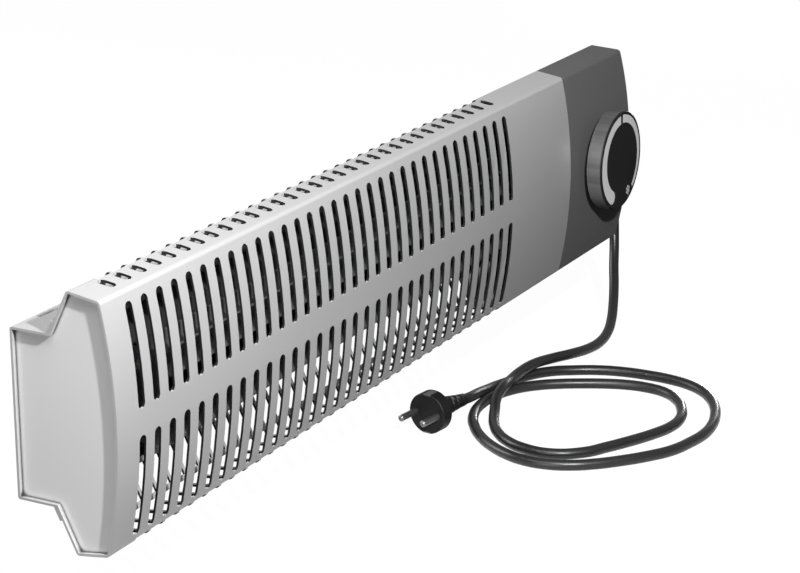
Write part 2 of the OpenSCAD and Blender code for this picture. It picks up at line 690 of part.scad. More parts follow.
module spindle() color("gainsboro") difference() {
    union() {
        rod_y(knob_front_y + 4.1, chamber_y[0] + 1, knob_x, knob_z, spindle_r);
        rod_y(chamber_y[0], plunger_y[1] - 3, knob_x, knob_z, thread_r);
    }
    block([knob_x - 5, knob_x + 5], [knob_front_y, knob_rear_y], [knob_z + spindle_r - 1, knob_z + 9]);
}
module knob() color([0.36, 0.36, 0.36]) difference() {
    rod_y(knob_front_y + face_t, knob_rear_y, knob_x, knob_z, knob_r);
    difference() {
        rod_y(knob_front_y + face_t + knob_wall, knob_rear_y + 1, knob_x, knob_z, knob_r - knob_wall);
        rod_y(knob_front_y, knob_rear_y - 0.6, knob_x, knob_z, spindle_r + 4);
    }
    difference() {
        rod_y(knob_front_y + 4, knob_rear_y, knob_x, knob_z, spindle_r + running);
        block([knob_x - 5, knob_x + 5], [knob_front_y, knob_rear_y], [knob_z + spindle_r - 0.95, knob_z + 9]);
    }
}
module knob_spring_clip() color("gainsboro") along_y(knob_rear_y - 4.6, knob_rear_y - 1.6)
    translate([knob_x, knob_z]) difference() {
        circle(r = spindle_r + 4.9);
        circle(r = spindle_r + 4 + running);
        translate([0, -3]) square([12, 6]);
    }
module knob_face() color([0.13, 0.13, 0.13]) difference() {
    union() {
        rod_y(knob_front_y + 0.4, knob_front_y + face_t, knob_x, knob_z, face_r);
        translate([knob_x, knob_front_y, knob_z]) rotate([-90, 0, 0])
            cylinder(h = 0.4, r1 = face_r - 0.4, r2 = face_r);
    }
    along_y(knob_front_y - 1, knob_front_y + scale_depth) translate([knob_x, knob_z]) scale_wedge(0.05);
}
module knob_scale() color("silver") along_y(knob_front_y, knob_front_y + scale_depth)
    translate([knob_x, knob_z]) scale_wedge(0);
// Wedge ring, wide at lower left and narrow at lower right, running clockwise over the top
module scale_wedge(grow) {
    wide = 10;
    thin = 3;
    steps = 48;
    sweep = 288;
    from = 240;
    outer = scale_r + grow;
    function across(k) = wide + (thin - wide) * k / steps + 2 * grow;
    function bearing(k) = from - sweep * k / steps;
    round_at = (outer - across(0) / 2) * [cos(from), sin(from)];
    polygon(concat(
        [for (k = [0:steps]) outer * [cos(bearing(k)), sin(bearing(k))]],
        [for (k = [steps:-1:0]) (outer - across(k)) * [cos(bearing(k)), sin(bearing(k))]],
        [for (a = [165:-15:15]) round_at + across(0) / 2 * [cos(from + a), sin(from + a)]]
    ));
}

module terminal_block() color("whitesmoke") difference() {
    block(block_x, block_y, block_z);
    for (x = pole_x) {
        translate([x, pole_y, block_z[0] - 1]) cylinder(h = 6, r = lead_r + fit);
        translate([x, pole_y, block_z[1] - 5]) cylinder(h = 6, r = lead_r + fit);
        for (z = [4, 12]) rod_y(block_y[0] - 1, block_y[0] + 4.4, x, block_z[0] + z, 2.3);
    }
}
module terminal_screws() color("gainsboro") for (x = pole_x, z = [4, 12]) difference() {
    rod_y(block_y[0] + 0.6, block_y[0] + 4.4, x, block_z[0] + z, 2.2);
    block([x - 2, x + 2], [block_y[0], block_y[0] + 1.4], [block_z[0] + z - 0.35, block_z[0] + z + 0.35]);
}
module earth_stud() color("goldenrod") {
    rod_x(joint_x - plate_t, joint_x + 11, stud_pos[0], stud_pos[1], 2);
    hex_rod(joint_x - plate_t - 2.8, joint_x - plate_t, stud_pos[0], stud_pos[1], 4);
}
module earth_nut() color("goldenrod") difference() {
    hex_rod(joint_x, joint_x + 3.2, stud_pos[0], stud_pos[1], 4);
    rod_x(joint_x - 1, joint_x + 4, stud_pos[0], stud_pos[1], 2.05);
}
// Leads: each ends at a pole of the block, a tab or a terminal, and leaves it square
function in_pole(i) = [pole_x[i], pole_y, block_z[1] - 4];
function above_pole(i) = [pole_x[i], pole_y, block_z[1] + 1.5];
function stat_tab(x, out) = [knob_x + x, stat_rear_y + 8 + out, knob_z];
function cutout_tab(z, out) = [cutout_x + 11 + out, cutout_tab_y + 0.4, element_z + z];
function through_plate(x, z) = [joint_x + x, grommet_pos[0], grommet_pos[1] + z];
function on_terminal(i, out) = [joint_x + terminal_out + out, tube_y, leg_z[i]];
function on_stud(out) = [joint_x + stud_out + out, stud_pos[0], stud_pos[1]];

module live_lead() color("saddlebrown") swept(
    concat([in_pole(2)], eased(above_pole(2), [0, 0, 14], stat_tab(8, 2), [0, -10, 0], 12),
        [stat_tab(8, 0)]), lead_r, 8);
module thermostat_lead() color("saddlebrown") swept(
    concat([stat_tab(-8, 0)],
        eased(stat_tab(-8, 2), [0, 8, 0], through_plate(5, grommet_gap), [-14, 0, 0], 12),
        eased(through_plate(-8, grommet_gap), [-6, 0, 0], cutout_tab(3, 3), [-6, 0, 0], 6),
        [cutout_tab(3, 0)]), lead_r, 8);
module cutout_lead() color("saddlebrown") swept(
    concat([cutout_tab(-3, 0)],
        eased(cutout_tab(-3, 3), [6, 0, 0], through_plate(-8, -grommet_gap), [6, 0, 0], 6),
        eased(through_plate(5, -grommet_gap), [16, 0, 0], on_terminal(0, 3), [-11, 0, 0], 12),
        [on_terminal(0, 0)]), lead_r, 8);
module neutral_lead() color("steelblue") swept(
    concat([on_terminal(1, 0)], eased(on_terminal(1, 3), [12, 0, 0], above_pole(1), [0, 0, -22], 12),
        [in_pole(1)]), lead_r, 8);
module earth_lead() color("yellowgreen") swept(
    concat([on_stud(0)], eased(on_stud(2), [8, 0, 0], above_pole(0), [0, 0, -30], 12),
        [in_pole(0)]), lead_r, 8);
module cord_cores() color("saddlebrown") for (i = [0:2]) {
    core = cord_inner + 2.4 * [0, cos(330 + 120 * i), sin(330 + 120 * i)];
    pole = [pole_x[2 - i], pole_y, block_z[0]];
    swept(concat([core],
        eased(core - [4, 0, 0], [-10 - 6 * i, 0, 0], pole - [0, 0, 1.5], [0, 0, 14], 12),
        [pole + [0, 0, 4]]), lead_r, 8);
}

module lead_grommet() color("black") difference() {
    union() {
        rod_x(joint_x - plate_t - 2, joint_x + 2, grommet_pos[0], grommet_pos[1], 4.55);
        for (x = [joint_x - plate_t - 2, joint_x]) rod_x(x, x + 2, grommet_pos[0], grommet_pos[1], 6);
    }
    rod_x(joint_x - 5, joint_x + 5, grommet_pos[0], grommet_pos[1], 3.6);
}
// Gland with a collar on the wall and a sleeve that narrows over three grooves
module cord_gland() color([0.2, 0.2, 0.2]) translate([gland_face_x, cord_y, cord_z])
    rotate([90, 0, 90]) rotate_extrude() polygon([
        [cord_r + running, -11], [6, -11], [6, 0], [8.4, 0], [8.4, 2], [7.9, 2.5], [6.7, 2.5],
        [6.6, 6], [5.6, 6.6], [5.6, 8], [6.3, 8.6], [6.2, 11], [5.3, 11.6], [5.3, 13], [5.9, 13.6],
        [5.8, 16], [5, 16.6], [5, 18], [5.5, 18.6], [5.1, relief_len - 0.8], [4.6, relief_len],
        [cord_r + running, relief_len]
    ]);
module cord_clamp() color([0.2, 0.2, 0.2]) difference() {
    block([clamp_x - 4, clamp_x + 4], [cord_y + 0.4, cord_y + cord_r + 3.5], [cord_z - 12, cord_z + 12]);
    rod_x(clamp_x - 6, clamp_x + 6, cord_y, cord_z, cord_r + running);
    for (z = [-8, 8]) rod_y(cord_y, cord_y + 12, clamp_x, cord_z + z, 1.6);
}
module clamp_screws() color("gainsboro") for (z = [-8, 8]) {
    rod_y(cord_y - 11, cord_y + cord_r + 3.5, clamp_x, cord_z + z, 1.5);
    rod_y(cord_y + cord_r + 3.5, cord_y + cord_r + 5.5, clamp_x, cord_z + z, 2.8);
}
module mains_cord() color([0.22, 0.22, 0.22]) swept(cord_points, cord_r, 12);

module on_plug() {
    translate(plug_at) rotate([0, 0, plug_turn]) children();
}
module turned_x() {
    rotate([90, 0, 90]) rotate_extrude(convexity = 4) children();
}
module plug_body() color([0.1, 0.1, 0.1]) on_plug() difference() {
    union() {
        intersection() {
            turned_x() polygon([
                [0, 0], [plug_r - 0.6, 0], [plug_r, -0.6], [plug_r, 1 - plug_len],
                [plug_r - 1, -plug_len], [0, -plug_len]
            ]);
            translate([-plug_len, -plug_d, -plug_flat / 2]) cube([plug_len, 2 * plug_d, plug_flat]);
        }
        translate([-plug_len, 0, 0]) rotate([0, -sleeve_droop, 0]) turned_x() polygon([
            [0, 1], [7.3, 1], [7, -12], [6.2, -12.6], [6.1, -14.4], [6.7, -15], [6.2, -19],
            [5.4, -19.6], [5.3, -21.4], [5.8, -22], [5.3, -26], [4.7, -26.6], [4.7, -28.4],
            [5, -29], [4.5, -sleeve_len], [0, -sleeve_len]
        ]);
    }
    for (y = [-pin_spread / 2, pin_spread / 2]) rod_x(-8, 1, y, 0, pin_d / 2 + running);
    for (s = [0, 1]) mirror([0, 0, s]) translate([1 - plug_len, -3.2, plug_flat / 2 - 1.2])
        cube([plug_len, 6.4, 3]);
}
module plug_pins() color("gainsboro") on_plug() for (y = [-pin_spread / 2, pin_spread / 2]) {
    rod_x(-8, pin_len - 1, y, 0, pin_d / 2);
    translate([pin_len - 1, y, 0]) rotate([0, 90, 0]) cylinder(h = 1, r1 = pin_d / 2, r2 = pin_d / 2 - 1);
}
module plug_earth_clips() color("gainsboro") on_plug() for (s = [0, 1]) mirror([0, 0, s])
    translate([1.2 - plug_len, -3, plug_flat / 2 - 1.2]) cube([plug_len - 1.2, 6, 1]);

front_cover();
rear_panel();
left_end_plate();
partition_plate();
casing_screws();
heat_shield();
heating_tube();
upper_fins();
lower_fins();
element_bracket();
bracket_rivets();
element_bushes();
element_nuts();
terminal_insulators();
element_terminals();
thermal_cutout();
cutout_tabs();
control_housing();
control_back_cover();
housing_screws();
back_cover_screws();
thermostat_bracket();
bracket_screws();
thermostat_body();
thermostat_screws();
thermostat_tabs();
adjusting_plunger();
capillary_tube();
sensor_bulb();
bulb_clips();
spindle();
knob();
knob_spring_clip();
knob_face();
knob_scale();
terminal_block();
terminal_screws();
earth_stud();
earth_nut();
live_lead();
neutral_lead();
earth_lead();
thermostat_lead();
cutout_lead();
cord_cores();
lead_grommet();
cord_gland();
cord_clamp();
clamp_screws();
mains_cord();
plug_body();
plug_pins();
plug_earth_clips();
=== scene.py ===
import math

import bmesh
import bpy
from mathutils import Matrix, Vector


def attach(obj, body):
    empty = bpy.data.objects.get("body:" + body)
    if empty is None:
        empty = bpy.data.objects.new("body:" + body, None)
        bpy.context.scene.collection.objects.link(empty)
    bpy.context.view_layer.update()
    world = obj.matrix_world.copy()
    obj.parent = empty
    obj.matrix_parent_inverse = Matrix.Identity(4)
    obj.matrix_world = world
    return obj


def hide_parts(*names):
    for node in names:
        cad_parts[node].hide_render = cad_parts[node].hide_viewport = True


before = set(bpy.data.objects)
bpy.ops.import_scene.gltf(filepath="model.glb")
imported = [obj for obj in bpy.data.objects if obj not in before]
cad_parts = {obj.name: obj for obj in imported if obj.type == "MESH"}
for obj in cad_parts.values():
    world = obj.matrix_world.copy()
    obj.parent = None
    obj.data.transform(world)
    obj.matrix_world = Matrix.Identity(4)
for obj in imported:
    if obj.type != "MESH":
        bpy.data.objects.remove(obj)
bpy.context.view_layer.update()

# Camera
# It stands left of the heater and a little above it, and looks along the slotted front,
# so the bare end plate is near and the knob far, as in the photograph.
camera_at = Vector((-1.3854, -0.7975, 0.4926))
camera_right = Vector((0.47226, -0.88146, -0.0007))
camera_up = Vector((0.2726, 0.1454, 0.951))
camera_lens = 112.137
sensor_width = 36.0
camera_back = camera_right.cross(camera_up).normalized()
camera_up = camera_back.cross(camera_right).normalized()
camera_right.normalize()
camera_data = bpy.data.cameras.new("camera")
camera_data.lens = camera_lens
camera_data.sensor_width = sensor_width
camera_data.sensor_fit = "HORIZONTAL"
camera_data.clip_start = 0.05
camera_data.clip_end = 60.0
camera = bpy.data.objects.new("camera", camera_data)
turn = Matrix((camera_right, camera_up, camera_back)).transposed().to_4x4()
camera.matrix_world = Matrix.Translation(camera_at) @ turn
bpy.context.collection.objects.link(camera)
bpy.context.scene.camera = camera


# Mains cord
# A round three-core PVC flex, 7.8 mm thick, black-grey and satin from its extruded sheath.
# It leaves the control housing through the gland, hangs down, lies in a loose double loop
# that crosses over itself, and ends in the plug. The route's points are in millimetres.
MM = 0.001
cord_diameter = 7.8 * MM
cord_route = [
    (319, -45, -42), (328, -45, -42), (347, -45, -42), (371, -45, -42), (379.4, -44.1, -43),
    (387.9, -41.9, -46.2), (395.6, -38.9, -52.1), (401.5, -36, -61), (404.6, -34.8, -72.6),
    (403.9, -35.5, -86), (398.9, -38.1, -100.2), (389.7, -42.1, -113.9), (377.5, -47.9, -126.1),
    (362.7, -54, -136.2), (346, -60, -143.5), (327.9, -64.8, -147.9), (308.6, -67.1, -149.7),
    (288.7, -66.2, -149.4), (268.3, -61.3, -148.1), (249.5, -52.2, -147.8), (229.8, -47, -146.7),
    (209.9, -45, -147), (190.7, -45.8, -147.5), (172.6, -48.7, -146.7), (155.6, -51.5, -149.2),
    (141.8, -56.9, -153.3), (129.6, -62.2, -154.9), (118.6, -68.3, -155.5),
    (108.2, -76.1, -155.5), (98.1, -87.2, -155.5), (90.3, -103.3, -155.5), (89.3, -124.6, -155.5),
    (101.7, -144.4, -155.5), (120.9, -156.4, -155.5), (139.9, -166.4, -155.5),
    (158.7, -174.7, -155.5), (177.7, -180.2, -155.5), (196.7, -179.7, -155.5),
    (214.2, -173.4, -155.5), (229.5, -163.6, -155.5), (240.6, -149.6, -155.5),
    (244.1, -132.8, -155.5), (242.1, -116.5, -155.5), (236.6, -101.3, -155.5),
    (229.3, -86.8, -155.5), (220.8, -72.7, -155.5), (210.1, -59.3, -155.5),
    (195.7, -48.2, -155.5), (177.1, -41.2, -155.5), (153.6, -39.8, -155.5),
    (129.2, -45.8, -155.5), (109.2, -57.3, -155.5), (94.2, -70.2, -155.5), (83, -83.8, -155.5),
    (74.8, -98.3, -155.5), (70.1, -114, -155.5), (70.6, -130.8, -155.5), (76.7, -147.1, -155.5),
    (87.5, -161.7, -155.5), (101.2, -174.9, -155.5), (117, -187.4, -155.5), (135, -198.1, -155.5),
    (154.9, -203.7, -155.5), (174.6, -206.5, -155.5), (193.8, -205.1, -155.5),
    (211.8, -200.5, -155.5), (228.5, -193.8, -155.5), (243.5, -184.6, -155.5),
    (256.1, -172.8, -155.5), (264.7, -157.9, -155.5), (268.7, -141.2, -155.5),
    (269.3, -123.6, -155.5), (267.7, -105.4, -155.5), (262.5, -87.2, -155.5),
    (253.3, -70, -155.5), (240.4, -55, -155), (224, -43.3, -155.3), (208.4, -37.4, -155.4),
    (192.6, -34.1, -154.4), (176.8, -33.2, -152.7), (161.5, -33.8, -150.2),
    (143.9, -34.6, -147.9), (137, -33.6, -147.3),
]


def linear(hex_colour):
    """An sRGB hex colour as linear red, green, blue and full alpha."""
    channels = [int(hex_colour[i : i + 2], 16) / 255 for i in (1, 3, 5)]
    return [c / 12.92 if c <= 0.04045 else ((c + 0.055) / 1.055) ** 2.4 for c in channels] + [1.0]


def add(tree, kind, sockets=None, **settings):
    """A new node: settings are its properties, and sockets its values or what is linked to them."""
    made = tree.nodes.new(kind)
    for name, value in settings.items():
        setattr(made, name, value)
    for name, value in (sockets or {}).items():
        if isinstance(value, bpy.types.NodeSocket):
            tree.links.new(value, made.inputs[name])
        else:
            made.inputs[name].default_value = value
    return made


def start_material(name):
    """A material whose node tree is empty, and that tree."""
    material = bpy.data.materials.new(name)
    material.use_nodes = True
    tree = material.node_tree
    tree.nodes.clear()
    return material, tree


def close_material(tree, shader):
    """Link the shader to the material's output."""
    add(tree, "ShaderNodeOutputMaterial", {"Surface": shader.outputs[0]})


def grained(name, dark, light, metallic, rough, grain_mm, bump_mm, stretch=(1, 1, 1), shine=0.5):
    """A moulded or drawn finish: two close tones, a fine grain and uneven gloss.

    Most real grains are finer than grain_mm, and are drawn this coarse so that they show.
    """
    blotches_per_metre = 14.0
    thin_blotch = 0.3
    full_blotch = 0.7
    rough_spread = 0.06
    grain_strength = 0.5
    material, tree = start_material(name)
    bare_place = add(tree, "ShaderNodeTexCoord").outputs["Object"]
    place = add(tree, "ShaderNodeMapping", {"Vector": bare_place, "Scale": stretch}).outputs["Vector"]
    grain = add(
        tree, "ShaderNodeTexNoise",
        {"Vector": place, "Scale": 1 / (grain_mm * MM), "Detail": 3.0},
    )
    blotch = add(
        tree, "ShaderNodeTexNoise",
        {"Vector": place, "Scale": blotches_per_metre, "Detail": 4.0, "Roughness": 0.6},
    )
    tone = add(
        tree, "ShaderNodeMix",
        {"Factor": blotch.outputs["Fac"], "A": linear(dark), "B": linear(light)},
        data_type="RGBA",
    )
    gloss = add(
        tree, "ShaderNodeMapRange",
        {
            "Value": blotch.outputs["Fac"], "From Min": thin_blotch, "From Max": full_blotch,
            "To Min": rough - rough_spread, "To Max": rough + rough_spread,
        },
    )
    relief = add(
        tree, "ShaderNodeBump",
        {"Height": grain.outputs["Fac"], "Strength": grain_strength, "Distance": bump_mm * MM},
    )
    shader = add(
        tree, "ShaderNodeBsdfPrincipled",
        {
            "Base Color": tone.outputs["Result"], "Metallic": metallic,
            "Roughness": gloss.outputs["Result"], "Normal": relief.outputs["Normal"],
            "Specular IOR Level": shine,
        },
    )
    close_material(tree, shader)
    return material


# Plasticised PVC, extruded: near black; the soft line of light along each bend comes from the
# lamps and from the painted reflection of the floor
cord_pvc = grained("extruded_pvc", "#161616", "#1C1C1C", 0.0, 0.36, 1.2, 0.001, shine=0.4)
cord_curve = bpy.data.curves.new("mains_flex", "CURVE")
cord_curve.dimensions = "3D"
cord_curve.bevel_depth = cord_diameter / 2
cord_curve.bevel_resolution = 8
cord_curve.resolution_u = 6
cord_curve.use_fill_caps = True
cord_line = cord_curve.splines.new("BEZIER")
cord_line.bezier_points.add(len(cord_route) - 1)
for point, stop in zip(cord_line.bezier_points, cord_route):
    point.co = Vector(stop) * MM
    point.handle_left_type = "AUTO"
    point.handle_right_type = "AUTO"
cord_curve.materials.append(cord_pvc)
mains_flex = bpy.data.objects.new("mains_flex", cord_curve)
bpy.context.collection.objects.link(mains_flex)
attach(mains_flex, "heater")
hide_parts("mains_cord")

# Casing
# Sheet steel, folded and punched, then powder coated: the flake shows as a faint sparkle over a
# slight orange peel, and shade is painted inside the casing, along folds and joints, and on the
# slot walls. The partition and the brackets are zinc-coated, and the shield is matt near black,
# as painted shade for the dark inside of the casing.
# The plates are screwed to the cover through tabs, and the shield is welded to the rear panel.
def powder_coated(name, dark, light, peel_mm, flake_mm, metallic, painted_shade_from=None):
    """A baked coat: close tones, orange peel, and flakes that each tilt the light a little.

    The flakes are drawn about ten times their real size, so that they show. Painted shade darkens
    the colour where the surface is shut in: widely inside the casing, narrowly along folds and
    joints. To the right of painted_shade_from, a face that looks along the casing, such as a slot
    wall, gets painted shade: a flat dark grey.
    """
    blotches_per_metre = 9.0
    flake_smooth = 0.32
    flake_rough = 0.5
    peel_strength = 0.35
    peel_height = 0.03 * MM
    # Each painted shade has a reach in millimetres, how open a place is where it is darkest and where
    # it ends, and the tone that it leaves: wide for the inside, narrow for folds and joints.
    painted_inside_shade = (40, 0.05, 0.45, 0.08)
    painted_fold_shade = (4, 0.5, 0.7, 0.2)
    material, tree = start_material(name)
    coordinates = add(tree, "ShaderNodeTexCoord").outputs
    place = coordinates["Object"]
    blotch = add(
        tree, "ShaderNodeTexNoise", {"Vector": place, "Scale": blotches_per_metre, "Detail": 3.0}
    )
    colour = add(
        tree, "ShaderNodeMix",
        {"Factor": blotch.outputs["Fac"], "A": linear(dark), "B": linear(light)},
        data_type="RGBA",
    ).outputs["Result"]
    # Painted shade: the colour is darkened where ambient occlusion finds the surface shut in.
    for reach_mm, darkest, ends, least_tone in (painted_inside_shade, painted_fold_shade):
        openness = add(tree, "ShaderNodeAmbientOcclusion", {"Distance": reach_mm * MM}, samples=8)
        shade = add(
            tree, "ShaderNodeMapRange",
            {
                "Value": openness.outputs["AO"], "From Min": darkest, "From Max": ends,
                "To Min": least_tone, "To Max": 1.0,
            },
        )
        colour = add(
            tree, "ShaderNodeMix", {"Factor": 1.0, "A": colour, "B": shade.outputs["Result"]},
            data_type="RGBA", blend_type="MULTIPLY",
        ).outputs["Result"]
    # Painted shade: faces that look along the casing, the slot walls, are coloured a flat dark grey.
    if painted_shade_from is not None:
        wall_shade_colour = linear("#2C2C2C")
        wall_facing_limit = 0.5
        across = add(tree, "ShaderNodeSeparateXYZ", {"Vector": coordinates["Normal"]}).outputs["X"]
        sideways = add(tree, "ShaderNodeMath", {0: across}, operation="ABSOLUTE")
        wall_facing_mask = add(
            tree, "ShaderNodeMath", {0: sideways.outputs[0], 1: wall_facing_limit},
            operation="GREATER_THAN",
        )
        along = add(tree, "ShaderNodeSeparateXYZ", {"Vector": place}).outputs["X"]
        inward = add(tree, "ShaderNodeMath", {0: along, 1: painted_shade_from}, operation="GREATER_THAN")
        painted_wall_shade = add(
            tree, "ShaderNodeMath", {0: wall_facing_mask.outputs[0], 1: inward.outputs[0]}, operation="MULTIPLY"
        )
        colour = add(
            tree, "ShaderNodeMix",
            {"Factor": painted_wall_shade.outputs[0], "A": colour, "B": wall_shade_colour},
            data_type="RGBA",
        ).outputs["Result"]
    flake = add(tree, "ShaderNodeTexVoronoi", {"Vector": place, "Scale": 1 / (flake_mm * MM)})
    glint = add(
        tree, "ShaderNodeMapRange",
        {"Value": flake.outputs["Color"], "To Min": flake_smooth, "To Max": flake_rough},
    )
    peel = add(
        tree, "ShaderNodeTexNoise", {"Vector": place, "Scale": 1 / (peel_mm * MM), "Detail": 2.0}
    )
    relief = add(
        tree, "ShaderNodeBump",
        {"Height": peel.outputs["Fac"], "Strength": peel_strength, "Distance": peel_height},
    )
    shader = add(
        tree, "ShaderNodeBsdfPrincipled",
        {
            "Base Color": colour, "Metallic": metallic,
            "Roughness": glint.outputs["Result"], "Normal": relief.outputs["Normal"],
            "Coat Weight": 0.4, "Coat Roughness": 0.15,
        },
    )
    close_material(tree, shader)
    return material


def spangled(name, dark, light, spangle_mm, rough):
    """Zinc-coated sheet: pale crystals of slightly different tone and gloss."""
    mist_per_metre = 60.0
    mist_share = 0.4
    rough_spread = 0.08
    material, tree = start_material(name)
    place = add(tree, "ShaderNodeTexCoord").outputs["Object"]
    crystal = add(tree, "ShaderNodeTexVoronoi", {"Vector": place, "Scale": 1 / (spangle_mm * MM)})
    mist = add(tree, "ShaderNodeTexNoise", {"Vector": place, "Scale": mist_per_metre, "Detail": 4.0})
    mottle = add(
        tree, "ShaderNodeMix",
        {"Factor": mist_share, "A": crystal.outputs["Color"], "B": mist.outputs["Color"]},
        data_type="RGBA",
    )
    level = add(tree, "ShaderNodeRGBToBW", {"Color": mottle.outputs["Result"]}).outputs["Val"]
    tone = add(
        tree, "ShaderNodeMix", {"Factor": level, "A": linear(dark), "B": linear(light)},
        data_type="RGBA",
    )
    gloss = add(
        tree, "ShaderNodeMapRange",
        {"Value": level, "To Min": rough + rough_spread, "To Max": rough - rough_spread},
    )
    shader = add(
        tree, "ShaderNodeBsdfPrincipled",
        {"Base Color": tone.outputs["Result"], "Metallic": 1.0, "Roughness": gloss.outputs["Result"]},
    )
    close_material(tree, shader)
    return material


def dress(node, material):
    """Give a solid of the frame its material."""
    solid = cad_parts[node]
    solid.data.materials.clear()
    solid.data.materials.append(material)


# The left rim of the sheet stays silver, so the painted shade on the slot walls starts 1 mm inside it
left_rim = -349 * MM
# Silver powder coat: an even light grey with a soft shine along the folds, and painted shade
# inside the casing, along folds and joints, and on the slot walls
silver_coat = powder_coated(
    "silver_powder_coat", "#C4C4C4", "#CACACA", 1.6, 0.35, 0.6, painted_shade_from=left_rim
)
# The same coat with less flake: flatter, for the end plate, with the same painted shade in its
# folds and joints
plain_coat = powder_coated("grey_powder_coat", "#BEBEBE", "#C2C2C2", 1.6, 0.35, 0.1)
# Zinc-coated sheet, hot dipped: a cool grey metal, mottled by its crystals
zinc = spangled("zinc_plated_sheet", "#8E9092", "#B8BABC", 7.0, 0.42)
# Matt near black for the shield: painted shade, for the dark inside of the casing
shield_shade_black = grained("shield_painted_shade_black", "#161616", "#1E1E1E", 0.0, 0.62, 0.8, 0.02)
for sheet in ("front_cover", "rear_panel"):
    dress(sheet, silver_coat)
dress("left_end_plate", plain_coat)
for sheet in ("partition_plate", "element_bracket", "thermostat_bracket"):
    dress(sheet, zinc)
dress("heat_shield", shield_shade_black)

# Element
# A tubular steel heating element, bent to a U, with extruded aluminium fins pressed on its legs.
# Brass bushes and nuts hold its ends in the partition, and a riveted bracket holds the bend.
# Steel oxidised by heat: a dark brown-grey with a dull metallic shine
heated_steel = grained("heat_tinted_steel", "#2A2826", "#45403B", 0.8, 0.4, 2.0, 0.01)
# Aluminium fins: dark grey as painted shade for the dark inside of the casing, drawn into fine
# lines along the length
shaded_fin_aluminium = grained(
    "fin_aluminium_painted_shade", "#4C4C4E", "#606062", 0.6, 0.45, 0.8, 0.01, stretch=(0.02, 1.0, 1.0)
)
# Brass, turned or stamped: warm yellow with a fine, even grain
brass = grained("turned_brass", "#A98B4C", "#C7A962", 1.0, 0.34, 0.6, 0.005)
dress("heating_tube", heated_steel)
for fins in ("upper_fins", "lower_fins"):
    dress(fins, shaded_fin_aluminium)
for turned in (
    "element_bushes", "element_nuts", "earth_stud", "earth_nut", "adjusting_plunger",
    "cutout_tabs", "thermostat_tabs", "terminal_screws",
):
    dress(turned, brass)

# Screws and other steel
# The screws that hold the casing, the housing and the thermostat, the bracket's rivets, the
# element's terminals, and the dial's spindle with the clip that grips it inside the knob.
# Steel, plated with zinc: a cool light grey with a satin shine
plated_steel = grained("plated_steel", "#A0A2A4", "#BCBEC0", 1.0, 0.34, 0.8, 0.005)
for fixing in (
    "casing_screws", "bracket_rivets", "housing_screws", "back_cover_screws", "bracket_screws",
    "thermostat_screws", "clamp_screws", "element_terminals", "spindle", "knob_spring_clip",
):
    dress(fixing, plated_steel)

# Control housing
# A shell moulded in one piece and closed by a screwed back cover, with the small black mouldings
# that hold the cord, the thermostat's bulb, the leads and the cutout.
# ABS, moulded in a spark-eroded tool: dark grey and dull, with a fine grain
grey_abs = grained("moulded_grey_abs", "#535353", "#595959", 0.0, 0.6, 0.5, 0.03, shine=0.3)
# The same plastic in black, from smoother tools: a plain dark satin
black_abs = grained("moulded_black_abs", "#1C1C1C", "#242424", 0.0, 0.5, 0.7, 0.02)
for moulding in ("control_housing", "control_back_cover"):
    dress(moulding, grey_abs)
for moulding in ("thermal_cutout", "bulb_clips", "lead_grommet", "cord_gland", "cord_clamp"):
    dress(moulding, black_abs)

# Thermostat and wiring
# A capillary thermostat with its copper bulb, a moulded terminal block and silicone leads. The
# cord's three cores are one node, so they share the brown of the live one.
# Steatite, pressed and fired: a dull cream with a chalky grain
ceramic = grained("steatite", "#D8D0C0", "#E4DDCF", 0.0, 0.6, 1.0, 0.01)
# Nylon, moulded: a clean white with a low waxy shine
white_nylon = grained("white_nylon", "#E2E2DE", "#ECECE8", 0.0, 0.5, 1.0, 0.01)
# Copper, drawn: warm orange metal with a satin shine
copper = grained("drawn_copper", "#B06A48", "#C98360", 1.0, 0.32, 1.0, 0.005)
# Silicone, extruded: soft brown, blue, and a yellow-green that stands for the striped earth lead
brown_lead = grained("brown_silicone", "#5E3A22", "#6E462C", 0.0, 0.45, 1.0, 0.01)
blue_lead = grained("blue_silicone", "#28486E", "#30547E", 0.0, 0.45, 1.0, 0.01)
green_lead = grained("green_yellow_silicone", "#8E9A2C", "#A2AE34", 0.0, 0.45, 1.0, 0.01)
for part in ("thermostat_body", "terminal_insulators"):
    dress(part, ceramic)
dress("terminal_block", white_nylon)
for part in ("capillary_tube", "sensor_bulb"):
    dress(part, copper)
for part in ("live_lead", "thermostat_lead", "cutout_lead", "cord_cores"):
    dress(part, brown_lead)
dress("neutral_lead", blue_lead)
dress("earth_lead", green_lead)

# Knob
# A hollow moulded knob, pushed on the spindle, with a black face and a silver wedge let into it.
# A tick is printed across the wedge at the top, and a snowflake beside its thin end.
# Lengths on the face are in millimetres from its middle, to the right and up.
knob_centre = Vector((295.5, -85.8, 2.0)) * MM
print_lift = 0.04 * MM
tick_length = 9.6
tick_width = 3.2
tick_bearing = 91.0
tick_at = (-0.4, 26.2)
flake_at = Vector((14.6, -26.6))
flake_arms = 6
flake_across = 7.6
arm_width = 0.75
fork_out = 2.0
fork_length = 1.5
fork_width = 0.6
# ABS, moulded: grey, with soft dark and light bands along the axis, painted reflection bands of
# the round side
knob_abs_painted_bands = grained(
    "knob_abs_painted_reflections", "#161616", "#686868", 0.0, 0.45, 0.7, 0.004, stretch=(8, 0.05, 8), shine=0.4
)
# Black foil: deep and even, with little shine
black_foil = grained("black_face_foil", "#191919", "#1D1D1D", 0.0, 0.5, 0.7, 0.004, shine=0.25)
# Silver foil: a flat light grey, evenly bright whichever way the dial stands
silver_foil = grained("silver_foil", "#D2D2D2", "#DADADA", 0.1, 0.42, 0.7, 0.004)
